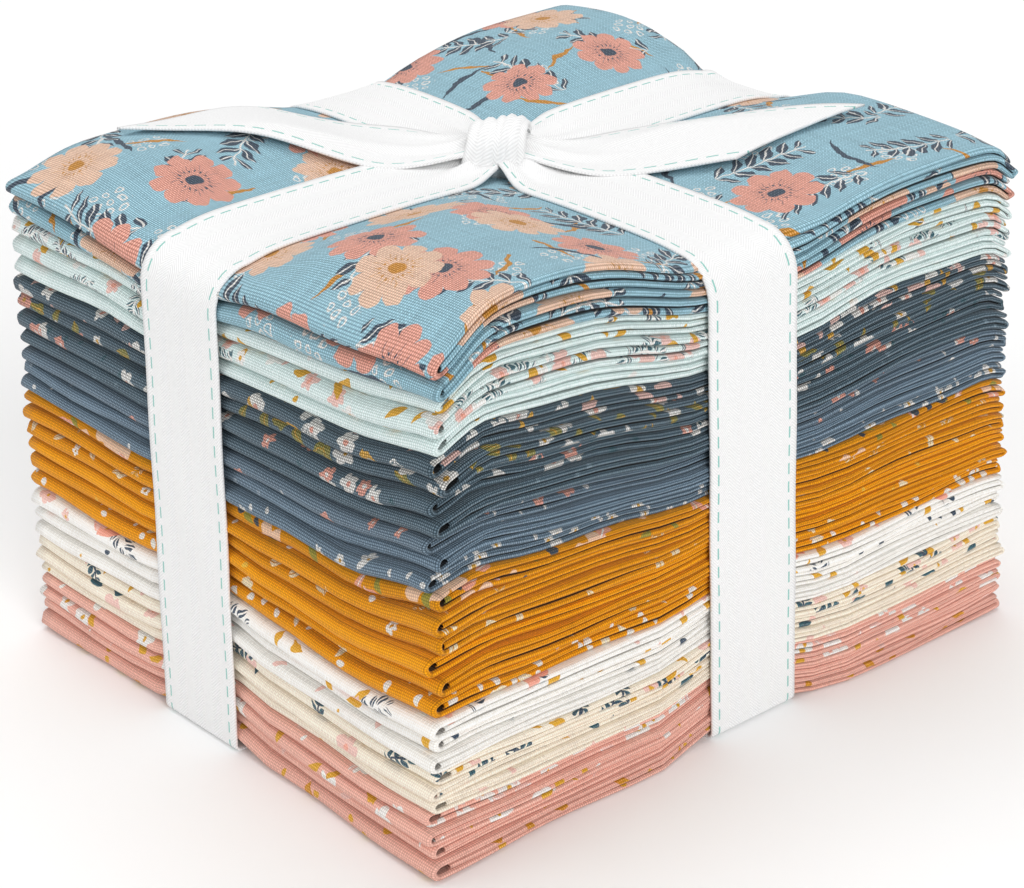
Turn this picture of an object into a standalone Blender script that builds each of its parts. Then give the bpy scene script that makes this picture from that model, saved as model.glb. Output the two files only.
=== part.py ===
"""Fat quarter bundle: folded cotton quarters in a stack, tied parcel-wise with a twill ribbon.

Each quarter is cut 18 x 21.5 inches, folded in thirds across its width and then in thirds
along its length. The first fold makes one thick leaf of three layers. The second fold
lays three such leaves on each other: the top leaf, a round fold at the front, the bottom leaf, a
fold at the back, and the middle leaf with its end tucked inside. Each quarter here is one
folded sheet of leaf thickness that follows this path.

Axes: X along the bundle's width, Y along its depth (front is -Y), Z up. Metres. The origin
is on the ground under the middle of the bundle.
"""
import math
from collections import namedtuple

import bmesh
import bpy
from mathutils import Matrix, Vector

MM = 0.001

# Driving dimensions of the folded stack.
BUNDLE_WIDTH = 0.152
BUNDLE_DEPTH = 0.1845
CORNER_HEIGHT = 0.1205
PUFF_HEIGHT = 0.0105
LEAF_THICKNESS = 1.0 * MM
LEAF_GAP = 0.35 * MM
FRONT_FOLD_REACH = 2.0 * MM
FRONT_FOLD_WALL = 0.95 * MM
TUCK_BACK = 3.0 * MM

# How the hidden back and left ends step in and out from quarter to quarter.
BACK_INSET = 0.3 * MM
BACK_STEP = 0.2 * MM
LOOSE_END_INSET = 0.1 * MM
LOOSE_END_STEP = 0.15 * MM
LEFT_INSET = 0.2 * MM
LEFT_STEP = 0.2 * MM

# Where the puffed cloth falls away: at both ends, under the ribbon, and at the left side.
END_REACH = 0.012
LONG_DIP_REACH = 0.030
CROSS_DIP_REACH = 0.037
DIP_POWER = 3.0
RIBBON_DIP_DEPTH = 0.85
LEFT_PUFF = 0.45
LEFT_REACH = 0.022
CREST_INSET_X = 0.034
CREST_INSET_Y = 0.026

# Driving dimensions of the ribbon.
RIBBON_WIDTH = 0.0275
RIBBON_THICKNESS = 1.0 * MM
LONG_BAND_X = -0.0082
CROSS_BAND_Y = 0.0040
SIDE_CLEARANCE = 0.8 * MM
TOP_CLEARANCE = 1.7 * MM
CROSSING_STEP = 1.6 * MM
PINCHED_WIDTH = 0.010
PINCH_REACH = 0.034
BAND_DIVISIONS = 6
UNDER_LIFT = 2.2 * MM
UNDER_STEP_TOP = RIBBON_WIDTH / 2 + 1.5 * MM
UNDER_STEP_END = RIBBON_WIDTH / 2 + 8.0 * MM
KNOT_SIZE = Vector((0.017, 0.015, 0.0085))
KNOT_GAP = 1.4 * MM
KNOT_SQUARENESS = 0.75
KNOT_TURN = math.radians(40.0)
TAIL_SAMPLES = 9
TAIL_LIFT = 3.4 * MM
TAIL_ROOT = 10.5 * MM
TAIL_SPREAD = 0.8

Quarter = namedtuple("Quarter", "colour loft front side")

# One row for each quarter, from the bottom of the stack to its top. loft is the extra
# height of a loosely folded quarter, and front and side say how far its folds lie inside
# the stack's outline. All three are in millimetres.
QUARTERS = (
    Quarter("rose", 0.2, 0.6, 0.4),
    Quarter("rose", 0.0, 1.5, 1.0),
    Quarter("rose", 0.0, 0.2, 0.3),
    Quarter("rose", 0.0, 1.1, 1.4),
    Quarter("beige", 0.0, 1.8, 0.6),
    Quarter("beige", 0.2, 0.4, 1.2),
    Quarter("beige", 0.1, 1.2, 0.2),
    Quarter("cream", 0.1, 0.3, 0.9),
    Quarter("cream", 0.3, 1.6, 1.5),
    Quarter("cream", 0.5, 0.0, 0.4),
    Quarter("mustard", 0.4, 0.9, 1.1),
    Quarter("mustard", 0.3, 1.4, 0.5),
    Quarter("mustard", 0.2, 0.2, 1.3),
    Quarter("gold", 0.2, 1.0, 0.2),
    Quarter("mustard", 0.1, 0.5, 0.8),
    Quarter("rust", 0.2, 1.3, 0.3),
    Quarter("slate", 0.0, 0.0, 1.2),
    Quarter("slate", 0.0, 1.7, 0.6),
    Quarter("slate", 0.2, 0.6, 1.4),
    Quarter("navy", 0.2, 1.1, 0.4),
    Quarter("navy", 0.1, 0.2, 1.0),
    Quarter("navy", 0.3, 1.5, 0.2),
    Quarter("navy", 0.1, 0.4, 0.9),
    Quarter("mint", 0.1, 1.2, 1.5),
    Quarter("mint", 0.6, 0.3, 0.5),
    Quarter("mint", 0.8, 1.6, 1.1),
    Quarter("blue", 0.5, 0.7, 0.3),
    Quarter("blue", 1.6, 0.0, 0.6),
)

# Cloth colours as seen, in display red, green and blue.
COLOURS = {
    "blue": (0.56, 0.72, 0.79),
    "mint": (0.83, 0.90, 0.88),
    "navy": (0.27, 0.35, 0.41),
    "slate": (0.40, 0.49, 0.57),
    "rust": (0.75, 0.44, 0.06),
    "mustard": (0.80, 0.51, 0.07),
    "gold": (0.87, 0.61, 0.08),
    "cream": (0.95, 0.92, 0.86),
    "beige": (0.92, 0.83, 0.70),
    "rose": (0.86, 0.55, 0.52),
    "ribbon": (0.94, 0.94, 0.94),
}

STATIONS_X = (
    -BUNDLE_WIDTH / 2,
    -BUNDLE_WIDTH / 2 + CREST_INSET_X,
    LONG_BAND_X,
    BUNDLE_WIDTH / 2 - CREST_INSET_X,
    BUNDLE_WIDTH / 2,
)
STATIONS_Y = (
    -BUNDLE_DEPTH / 2,
    -BUNDLE_DEPTH / 2 + CREST_INSET_Y,
    CROSS_BAND_Y,
    BUNDLE_DEPTH / 2 - CREST_INSET_Y,
    BUNDLE_DEPTH / 2,
)


def puffed_top(x, y):
    """Height of the stack's top: low along its two ends, dipping under each ribbon, full between.

    The side that holds the leaf edges puffs up as fully as the middle, and the left side less.
    """
    from_end = BUNDLE_DEPTH / 2 - abs(y)
    end = 1 - math.exp(-(from_end / END_REACH) ** 2)
    left = 1 - (1 - LEFT_PUFF) * math.exp(-(x + BUNDLE_WIDTH / 2) / LEFT_REACH)
    under_long = math.exp(-(abs(x - LONG_BAND_X) / LONG_DIP_REACH) ** DIP_POWER)
    under_cross = math.exp(-(abs(y - CROSS_BAND_Y) / CROSS_DIP_REACH) ** DIP_POWER)
    dip = 1 - RIBBON_DIP_DEPTH * max(under_long, under_cross)
    return CORNER_HEIGHT + PUFF_HEIGHT * end * left * dip


def lifted_base(x, y):
    """Height of the stack's underside: on the ground, but lifted where the ribbons pass under."""
    lift = 0.0
    if abs(x - LONG_BAND_X) < 0.1 * MM:
        lift += UNDER_LIFT
    if abs(y - CROSS_BAND_Y) < 0.1 * MM:
        lift += UNDER_LIFT
    return lift


def cell_of(value, stations):
    """The interval of the stations that holds value, and how far along it value lies, 0 to 1."""
    index = 0
    while index < len(stations) - 2 and value > stations[index + 1]:
        index += 1
    low, high = stations[index], stations[index + 1]
    return index, (value - low) / (high - low)


def faceted(field, x, y):
    """A field over (x, y) as the flat triangles between the stations, cut high-left to low-right."""
    column, across = cell_of(x, STATIONS_X)
    row, along = cell_of(y, STATIONS_Y)
    low_x, high_x = STATIONS_X[column], STATIONS_X[column + 1]
    low_y, high_y = STATIONS_Y[row], STATIONS_Y[row + 1]
    low_right = field(high_x, low_y)
    high_left = field(low_x, high_y)
    if across + along <= 1:
        near = field(low_x, low_y)
        return near + across * (low_right - near) + along * (high_left - near)
    far = field(high_x, high_y)
    return far + (1 - across) * (high_left - far) + (1 - along) * (low_right - far)


def leaf_levels():
    """For each quarter, its bottom, middle and top leaf's level in the stack, from 0 to 1."""
    levels = []
    height = 0.0
    for quarter in QUARTERS:
        pitch = LEAF_THICKNESS + LEAF_GAP + quarter.loft * MM / 3
        levels.append([height, height + pitch, height + 2 * pitch])
        height += 3 * pitch
    full = levels[-1][2]
    return [[level / full for level in row] for row in levels]


def leaf_height(x, y, level):
    """Height of a leaf's middle surface: its level's share of the stack between base and top."""
    base = faceted(lifted_base, x, y)
    top = faceted(puffed_top, x, y)
    return base + LEAF_THICKNESS / 2 + (top - base - LEAF_THICKNESS) * level


def fold_path(quarter, levels, number):
    """The folded sheet's path from end to end, as (y, level, run) rows.

    Run 0 is the top leaf from back to front, 1 the bottom leaf from front to back, and 2 the
    tucked middle leaf from back to front.
    """
    bottom, middle, top = levels
    front = -BUNDLE_DEPTH / 2 + FRONT_FOLD_WALL + quarter.front * MM
    back = BUNDLE_DEPTH / 2 - LEAF_THICKNESS / 2 - BACK_INSET - BACK_STEP * (number % 3)
    loose_end = back - LOOSE_END_INSET - LOOSE_END_STEP * (number % 4)
    turn = front + FRONT_FOLD_REACH
    inner = STATIONS_Y[1:4]
    rows = [(loose_end, top, 0)]
    rows += [(y, top, 0) for y in reversed(inner)]
    rows += [(turn, top, 0), (front, (top + bottom) / 2, 1), (turn, bottom, 1)]
    rows += [(y, bottom, 1) for y in inner]
    rows += [(back, bottom, 1), (back, middle, 2)]
    rows += [(y, middle, 2) for y in reversed(inner)]
    rows += [(turn + TUCK_BACK, middle, 2)]
    return rows


def material(name, colour):
    """A plain cloth material of the given display colour."""
    made = bpy.data.materials.new(name)
    made.use_nodes = True
    linear = [((c + 0.055) / 1.055) ** 2.4 if c > 0.04 else c / 12.92 for c in colour]
    shader = made.node_tree.nodes["Principled BSDF"]
    shader.inputs["Base Color"].default_value = (*linear, 1.0)
    shader.inputs["Roughness"].default_value = 0.9
    shader.inputs["Metallic"].default_value = 0.0
    return made


def add_object(name, bm, collection, finish):
    """A new object in the collection from a bmesh, with its material."""
    mesh = bpy.data.meshes.new(name)
    bm.to_mesh(mesh)
    bm.free()
    mesh.materials.append(finish)
    made = bpy.data.objects.new(name, mesh)
    collection.objects.link(made)
    return made


def add_wall(target, thickness):
    """Give an open sheet its thickness, half to each side."""
    solidify = target.modifiers.new("Cloth thickness", "SOLIDIFY")
    solidify.thickness = thickness
    solidify.offset = 0.0
    solidify.use_even_offset = True


def sheet_grid(columns, rows, place):
    """A grid of columns x rows points, each moved to place(column, row). Returns the bmesh."""
    bm = bmesh.new()
    bmesh.ops.create_grid(bm, x_segments=columns - 1, y_segments=rows - 1, size=1.0)
    for vertex in bm.verts:
        column = round((vertex.co.x + 1) / 2 * (columns - 1))
        row = round((vertex.co.y + 1) / 2 * (rows - 1))
        vertex.co = place(column, row)
    return bm


def cut_quads(bm, columns, row_is_rising):
    """Cut each quad in two so that stacked leaves share their diagonals, whichever way they run."""
    bm.faces.ensure_lookup_table()
    rising = []
    falling = []
    for index, face in enumerate(bm.faces):
        row = index // (columns - 1)
        (rising if row_is_rising(row) else falling).append(face)
    bmesh.ops.triangulate(bm, faces=rising, quad_method="ALTERNATE")
    bmesh.ops.triangulate(bm, faces=falling, quad_method="FIXED")


def build_quarter(number, quarter, levels, collection, finish):
    """One quarter: a sheet of leaf thickness along its fold path, shaped by the stack."""
    path = fold_path(quarter, levels, number)
    side = BUNDLE_WIDTH / 2 - quarter.side * MM
    hidden_side = -BUNDLE_WIDTH / 2 + LEFT_INSET + LEFT_STEP * (number % 5)
    across = (hidden_side, *STATIONS_X[1:4], side)

    def place(column, row):
        y, level, _ = path[row]
        x = across[column]
        return Vector((x, y, leaf_height(x, y, level)))

    bm = sheet_grid(len(across), len(path), place)
    cut_quads(bm, len(across), lambda row: path[row + 1][2] == 1)
    made = add_object(f"quarter_{number:02d}", bm, collection, finish)
    add_wall(made, LEAF_THICKNESS)
    return made


def band_width(distance):
    """Width of a band at a distance from the knot: full, but gathered close to the knot."""
    spread = min(1.0, distance / PINCH_REACH)
    smooth = spread * spread * (3 - 2 * spread)
    return PINCHED_WIDTH + (RIBBON_WIDTH - PINCHED_WIDTH) * smooth


def divided(stations, divisions):
    """The stations with each interval between them divided evenly."""
    values = [stations[0]]
    for low, high in zip(stations, stations[1:]):
        values += [low + (high - low) * part / divisions for part in range(1, divisions + 1)]
    return values


def build_band(name, along_y, collection, finish):
    """A ribbon band round the bundle: up one side, over the top, down the other, and under.

    Its section is the ribbon's width in three points, so on the top it lies along the trough
    that it presses into the cloth. Under the bundle the cross band steps over the long one.
    """
    half = (BUNDLE_DEPTH if along_y else BUNDLE_WIDTH) / 2 + SIDE_CLEARANCE
    offset = LONG_BAND_X if along_y else CROSS_BAND_Y
    centre = CROSS_BAND_Y if along_y else LONG_BAND_X
    on_ground = RIBBON_THICKNESS / 2

    def spot(position, shift, height):
        """The point at a position along the band, shifted across it, at a height."""
        x, y = (offset + shift, position) if along_y else (position, offset + shift)
        return Vector((x, y, height))

    def cloth_below(position, shift):
        """The height of the cloth's top there, or at its nearest edge."""
        point = spot(position, shift, 0.0)
        x = max(STATIONS_X[0], min(STATIONS_X[-1], point.x))
        y = max(STATIONS_Y[0], min(STATIONS_Y[-1], point.y))
        return faceted(puffed_top, x, y)

    inner = (STATIONS_Y if along_y else STATIONS_X)[1:4]
    rows = []
    for position in divided((-half, *inner, half), BAND_DIVISIONS):
        distance = abs(position - centre)
        width = band_width(distance)
        lift = TOP_CLEARANCE
        if not along_y:
            lift += CROSSING_STEP * min(1.0, max(0.0, 2 - 4 * distance / PINCH_REACH))
        shifts = [edge * width / 2 for edge in (-1, 0, 1)]
        rows.append([spot(position, shift, cloth_below(position, shift) + lift) for shift in shifts])
    under = [(half, on_ground), (-half, on_ground)]
    if not along_y:
        over = on_ground + RIBBON_THICKNESS + LEAF_GAP
        steps = [(UNDER_STEP_END, on_ground), (UNDER_STEP_TOP, over)]
        steps += [(-UNDER_STEP_TOP, over), (-UNDER_STEP_END, on_ground)]
        under[1:1] = [(centre + step, height) for step, height in steps]
    shifts = [edge * RIBBON_WIDTH / 2 for edge in (-1, 0, 1)]
    rows += [[spot(position, shift, height) for shift in shifts] for position, height in under]

    bm = bmesh.new()
    rings = [[bm.verts.new(point) for point in row] for row in rows]
    for ring, following in zip(rings, rings[1:] + rings[:1]):
        for edge in (0, 1):
            bm.faces.new((ring[edge], following[edge], following[edge + 1], ring[edge + 1]))
    bmesh.ops.triangulate(bm, faces=bm.faces[:])
    bmesh.ops.recalc_face_normals(bm, faces=bm.faces)
    made = add_object(name, bm, collection, finish)
    add_wall(made, RIBBON_THICKNESS)
    return made


def knot_centre():
    """The knot's centre: over the crossing of the bands."""
    ground = faceted(puffed_top, LONG_BAND_X, CROSS_BAND_Y)
    lift = TOP_CLEARANCE + CROSSING_STEP + KNOT_GAP + KNOT_SIZE.z / 2
    return Vector((LONG_BAND_X, CROSS_BAND_Y, ground + lift))


def build_knot(collection, finish):
    """The knot: a small pressed lump, squarer than a ball, turned towards the tails."""
    bm = bmesh.new()
    bmesh.ops.create_uvsphere(bm, u_segments=12, v_segments=7, radius=1.0)
    turn = Matrix.Rotation(KNOT_TURN, 3, "Z")
    for vertex in bm.verts:
        squared = [math.copysign(abs(part) ** KNOT_SQUARENESS, part) for part in vertex.co]
        pressed = Vector([part * size / 2 for part, size in zip(squared, KNOT_SIZE)])
        vertex.co = knot_centre() + turn @ pressed
    return add_object("ribbon_knot", bm, collection, finish)


Tail = namedtuple("Tail", "name heading length slant")

# heading is the tail's direction on the top in degrees from +X, length runs from the knot to
# the middle of its cut end in millimetres, and slant is how much further the end reaches at
# its left edge than in the middle, in millimetres.
TAILS = (
    Tail("ribbon_tail_left", 221.0, 75.0, 15.0),
    Tail("ribbon_tail_right", 48.0, 70.0, 16.0),
)


def build_tail(tail, collection, finish):
    """A loose end of the ribbon: narrow at the knot, full width and cut aslant at its tip."""
    heading = math.radians(tail.heading)
    forward = Vector((math.cos(heading), math.sin(heading), 0.0))
    leftward = Vector((-forward.y, forward.x, 0.0))
    start = knot_centre()

    def place(column, row):
        share = row / (TAIL_SAMPLES - 1)
        edge = column - 1
        end = (tail.length + edge * tail.slant) * MM
        reach = TAIL_ROOT + (end - TAIL_ROOT) * share
        width = band_width(reach * TAIL_SPREAD)
        spot = start + forward * reach + leftward * edge * width / 2
        cloth = faceted(puffed_top, spot.x, spot.y)
        settle = min(1.0, reach / PINCH_REACH)
        lift = TAIL_LIFT + (start.z - TAIL_LIFT - cloth) * (1 - settle) ** 2
        return Vector((spot.x, spot.y, cloth + lift))

    bm = sheet_grid(3, TAIL_SAMPLES, place)
    bmesh.ops.triangulate(bm, faces=bm.faces[:])
    made = add_object(tail.name, bm, collection, finish)
    add_wall(made, RIBBON_THICKNESS)
    return made


def clear_scene():
    """Remove whatever objects the open file holds."""
    for old in list(bpy.data.objects):
        bpy.data.objects.remove(old, do_unlink=True)


def main():
    """Build the quarters from the bottom up, then the ribbon round them."""
    clear_scene()
    collection = bpy.data.collections.new("fat_quarter_bundle")
    bpy.context.scene.collection.children.link(collection)
    for number, (quarter, levels) in enumerate(zip(QUARTERS, leaf_levels()), start=1):
        finish = material(f"cotton_{number:02d}", COLOURS[quarter.colour])
        build_quarter(number, quarter, levels, collection, finish)
    build_band("ribbon_band_long", True, collection, material("twill_long", COLOURS["ribbon"]))
    build_band("ribbon_band_cross", False, collection, material("twill_cross", COLOURS["ribbon"]))
    build_knot(collection, material("twill_knot", COLOURS["ribbon"]))
    for tail in TAILS:
        build_tail(tail, collection, material("twill_" + tail.name, COLOURS["ribbon"]))


main()
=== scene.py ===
"""Fat quarter bundle: 28 folded quarters of printed cotton in a stack, tied with twill tape.

Each quarter is one sheet of cloth, folded in thirds across its width and then in thirds along its
length, so that nine layers lie on each other. The stack puffs up between the bands of the tape,
which goes round it both ways and is knotted on top. X is the width, Y the depth and Z is up.
"""

import math
from collections import namedtuple

import bpy
import numpy as np
from mathutils import Matrix, Vector


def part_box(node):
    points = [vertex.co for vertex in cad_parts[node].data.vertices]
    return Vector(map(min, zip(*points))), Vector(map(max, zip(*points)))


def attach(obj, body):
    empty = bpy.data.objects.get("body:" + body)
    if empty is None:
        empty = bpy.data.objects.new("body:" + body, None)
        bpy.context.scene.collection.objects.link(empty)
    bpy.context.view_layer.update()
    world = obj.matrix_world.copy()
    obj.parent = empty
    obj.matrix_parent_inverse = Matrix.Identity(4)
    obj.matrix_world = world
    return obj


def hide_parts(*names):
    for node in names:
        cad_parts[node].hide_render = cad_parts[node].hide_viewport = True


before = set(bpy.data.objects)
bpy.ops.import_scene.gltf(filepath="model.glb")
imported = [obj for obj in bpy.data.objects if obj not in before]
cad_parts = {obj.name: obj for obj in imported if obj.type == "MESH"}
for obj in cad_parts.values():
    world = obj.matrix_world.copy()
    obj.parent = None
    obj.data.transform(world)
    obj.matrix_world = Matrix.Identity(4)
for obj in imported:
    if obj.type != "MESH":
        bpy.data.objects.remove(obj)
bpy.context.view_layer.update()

bl_info = {
    "name": "Fat quarter bundle",
    "version": (1, 0, 0),
    "blender": (4, 5, 0),
    "location": "3D View > Sidebar > Bundle",
    "description": "Folded quarters of printed cotton in a stack, tied with twill tape",
    "category": "Add Mesh",
}

MM = 0.001
TURN = 2 * math.pi

QUARTER_NODES = sorted(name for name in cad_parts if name.startswith("quarter_"))
QUARTER_BOXES = [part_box(name) for name in QUARTER_NODES]
STACK_LOW = Vector([min(low[axis] for low, high in QUARTER_BOXES) for axis in range(3)])
STACK_HIGH = Vector([max(high[axis] for low, high in QUARTER_BOXES) for axis in range(3)])
HALF_WIDTH = (STACK_HIGH.x - STACK_LOW.x) / 2
HALF_DEPTH = (STACK_HIGH.y - STACK_LOW.y) / 2
LONG_BAND_X = sum(corner.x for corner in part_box("ribbon_band_long")) / 2
CROSS_BAND_Y = sum(corner.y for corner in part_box("ribbon_band_cross")) / 2

# ---------------------------------------------------------------------------
# The cloth stack
# ---------------------------------------------------------------------------

Quarter = namedtuple("Quarter", "thickness front side print")

# One row for each quarter from the bottom up: its share of the stack's height, how far its front
# and side folds lie inside the stack in millimetres, and the print on it.
QUARTERS = (
    Quarter(19.0, 0.6, 0.4, "rose_gold_dots"),
    Quarter(12.0, 1.9, 1.4, "rose_plain"),
    Quarter(13.3, 0.1, 0.2, "rose_white_gold"),
    Quarter(13.3, 1.3, 1.8, "rose_white"),
    Quarter(11.0, 2.3, 0.5, "beige_plain"),
    Quarter(14.5, 0.3, 1.5, "beige_blush"),
    Quarter(13.5, 1.6, 0.1, "beige_leaf"),
    Quarter(14.0, 0.2, 1.1, "cream_plain"),
    Quarter(15.0, 2.0, 2.0, "cream_gold"),
    Quarter(18.5, -0.3, 0.3, "cream_floral"),
    Quarter(19.5, 1.1, 1.5, "mustard_dots"),
    Quarter(18.5, 1.9, 0.4, "mustard_plain"),
    Quarter(17.5, 0.1, 1.7, "gold_plain"),
    Quarter(17.0, 1.4, 0.1, "mustard_cream"),
    Quarter(16.0, 0.3, 1.2, "mustard_lines"),
    Quarter(16.5, 1.8, 0.2, "rust_floral"),
    Quarter(15.0, -0.2, 1.6, "slate_white"),
    Quarter(15.0, 2.2, 0.6, "slate_plain"),
    Quarter(18.5, 0.5, 1.8, "slate_pink"),
    Quarter(17.0, 1.4, 0.2, "navy_plain"),
    Quarter(20.0, 0.0, 1.4, "navy_pink"),
    Quarter(18.0, 2.0, 0.1, "navy_olive"),
    Quarter(17.0, 0.3, 1.2, "navy_floral"),
    Quarter(19.0, 1.5, 1.9, "mint_plain"),
    Quarter(23.0, 0.2, 0.5, "mint_sprig"),
    Quarter(18.0, 1.9, 1.4, "mint_gold"),
    Quarter(25.5, 0.4, 0.1, "blue_floral"),
    Quarter(21.0, 0.2, 0.8, "blue_floral"),
)

LAYERS = 9
EVEN_SHARE = 0.35
CLOTH_THICKNESS = 0.26 * MM

# How far the puffed top rises in the middle of each of its four parts.
PUFF_FRONT_LEFT = 8.0 * MM
PUFF_FRONT_RIGHT = 10.8 * MM
PUFF_BACK_LEFT = 9.0 * MM
PUFF_BACK_RIGHT = 6.0 * MM
PUFF_POWER = 1.6
# The share of the puff that is left at the left edge and at the back of the right edge, and how
# far in from each edge the puff falls away.
LEFT_EDGE_PUFF = 0.50
RIGHT_BACK_EDGE_PUFF = 0.75
SIDE_REACH = 22 * MM
FRONT_REACH = 12 * MM
BACK_REACH = 5 * MM
# The dips along the two bands, the hollow under the knot, and the press at the edges under the
# bands: at the front, the back and the sides.
LONG_DIP_REACH = 30 * MM
CROSS_DIP_REACH = 36 * MM
DIP_POWER = 3.2
DIP_DEPTH = 1.02
KNOT_PRESS = 3.6 * MM
KNOT_PRESS_REACH = 22 * MM
BAND_EDGE_PRESS = (3.6 * MM, 5.0 * MM, 2.2 * MM)
BAND_EDGE_WIDTH = 21 * MM
EDGE_REACH = 12 * MM
BACK_EDGE_REACH = 13 * MM
FAR_CORNER_DROOP = 1.8 * MM
FAR_CORNER_REACH = 9 * MM
# The underside over the bands, over their crossing, and at the four corners.
UNDER_PRESS = 2.3 * MM
UNDER_CROSSING = 0.8 * MM
UNDER_WIDTH = 17.5 * MM
CORNER_LIFT = 0.5 * MM
CORNER_LIFT_REACH = 17 * MM
# How the levels and outlines of the quarters change down the stack.
FRONT_CORNER_RISE = 4.2 * MM
FRONT_CORNER_REACH = 21 * MM
FRONT_CORNER_PULL = 2.4 * MM
FRONT_CORNER_SET_BACK = 0.6 * MM
RISE_SCALE = 9.48
RIGHT_SAG = 2.0 * MM
TOP_SAG = 2.8 * MM
TOP_SAG_SHARE = 0.955
TOP_SAG_REACH = 24 * MM
TOP_SAG_LEFT = 20 * MM
SPREAD = 4.2 * MM
SPREAD_POWER = 1.5
HELD_WIDTH = 24 * MM
BAND_GRIP_WIDTH = 19 * MM
OUTWARD = 0.1 * MM
FOLD_SLANT = 0.004

TAPE_THICKNESS = 0.6 * MM


def smooth(value):
    """Zero below 0, one above 1, and 3t squared less 2t cubed between them."""
    t = np.clip(value, 0.0, 1.0)
    return t * t * (3 - 2 * t)


def bell(distance, reach, power):
    """One at no distance, falling as e to the minus distance over reach, to the power given."""
    return np.exp(-np.abs(distance / reach) ** power)


def stack_top(x, y):
    """Height of the stack's top.

    The corner height, plus a puff that is a blend of four amounts, one for each quarter of the
    top. The puff falls away at both ends and at the left, and dips along both bands. The knot
    presses a hollow at their crossing.
    """
    settings = bpy.context.scene.bundle_cloth
    right = smooth((x / HALF_WIDTH + 1) / 2)
    back = smooth((y / HALF_DEPTH + 1) / 2)
    front_puff = PUFF_FRONT_LEFT + (PUFF_FRONT_RIGHT - PUFF_FRONT_LEFT) * right
    back_puff = PUFF_BACK_LEFT + (PUFF_BACK_RIGHT - PUFF_BACK_LEFT) * right
    puff = front_puff + (back_puff - front_puff) * back
    end = 1 - bell(HALF_DEPTH - np.abs(y), np.where(y < 0, FRONT_REACH, BACK_REACH), 2)
    left = 1 - (1 - LEFT_EDGE_PUFF) * np.exp(-(x + HALF_WIDTH) / SIDE_REACH)
    right_edge = 1 - (1 - RIGHT_BACK_EDGE_PUFF) * back * np.exp((x - HALF_WIDTH) / SIDE_REACH)
    dip = 1 - DIP_DEPTH * np.maximum(
        bell(x - LONG_BAND_X, LONG_DIP_REACH, DIP_POWER),
        bell(y - CROSS_BAND_Y, CROSS_DIP_REACH, DIP_POWER),
    )
    from_knot = np.hypot(x - LONG_BAND_X, y - CROSS_BAND_Y)
    crossing = KNOT_PRESS * bell(from_knot, KNOT_PRESS_REACH, 2)
    return settings.corner_height + settings.puff * puff * end * left * right_edge * dip - crossing


def band_edge_press(x, y):
    """How far the cloth's top is pulled down where a band goes over an edge of the stack."""
    at_front, at_back, at_side = BAND_EDGE_PRESS
    over_long = bell(x - LONG_BAND_X, BAND_EDGE_WIDTH, 3)
    over_cross = bell(y - CROSS_BAND_Y, BAND_EDGE_WIDTH, 3)
    front = at_front * over_long * bell(HALF_DEPTH + y, EDGE_REACH, 2)
    back = at_back * over_long * bell(HALF_DEPTH - y, BACK_EDGE_REACH, 2)
    side = at_side * over_cross * bell(HALF_WIDTH - np.abs(x), EDGE_REACH, 2)
    return front + back + side


def cloth_top(x, y):
    """Height of the tied cloth's top, with the press at the bands' edges and the far corner."""
    return stack_top(x, y) - band_edge_press(x, y) - far_droop(x, y)


def far_droop(x, y):
    """How far the loose far corner hangs down, falling away with the distance from it."""
    away = np.hypot(x - HALF_WIDTH, y - HALF_DEPTH)
    return FAR_CORNER_DROOP * bell(away, FAR_CORNER_REACH, 2)


def stack_base(x, y):
    """Height of the stack's underside.

    It rests on the ground between the bands, is pressed up over each band, and its four corners
    curl up a little.
    """
    over_long = bell(x - LONG_BAND_X, UNDER_WIDTH, 5)
    over_cross = bell(y - CROSS_BAND_Y, UNDER_WIDTH, 5)
    crossed = UNDER_CROSSING * over_long * over_cross
    from_corner = np.hypot(HALF_WIDTH - np.abs(x), HALF_DEPTH - np.abs(y))
    lift = CORNER_LIFT * bell(from_corner, CORNER_LIFT_REACH, 2)
    return UNDER_PRESS * np.maximum(over_long, over_cross) + crossed + lift


def rounded_inset(depth, radius):
    """How far a rounded edge lies inside its square corner, at a depth below it."""
    rise = np.clip(radius - depth, 0.0, radius)
    return radius - np.sqrt(np.maximum(radius ** 2 - rise ** 2, 0.0))


def layer_plan():
    """For each quarter, the level of its middle and the spacing of its layers."""
    total = bpy.context.scene.bundle_cloth.corner_height
    whole = sum(quarter.thickness for quarter in QUARTERS)
    plan = []
    level = 0.0
    for quarter in QUARTERS:
        share = EVEN_SHARE / len(QUARTERS) + (1 - EVEN_SHARE) * quarter.thickness / whole
        pitch = total * share
        plan.append((level + pitch / 2, pitch / LAYERS))
        level += pitch
    return plan


# How much the stations crowd, the reach of the back turn per layer, how far the loose leaf's last
# station keeps from its end, how deep its end lies at most, and the part of the columns that the
# tucked run is shorter by, as one over it.
END_CROWD = 0.45
BACK_TURN_REACH = 1.2
LOOSE_GAP = 0.4 * MM
DEEPEST_TUCK = 3.2 * MM
SHORT_SHARE = 12


def stations(low, high, count):
    """Positions from low to high that crowd towards both ends: even ones less a part of a sine."""
    even = np.linspace(0, 1, count)
    eased = even - END_CROWD * np.sin(TURN * even) / TURN
    return low + (high - low) * eased


def half_turn(start, count):
    """Cosines and sines of angles inside half a turn from start, in half turns."""
    angle = np.linspace(start, start + 1, count)[1:-1] * math.pi
    return np.cos(angle), np.sin(angle)


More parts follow.
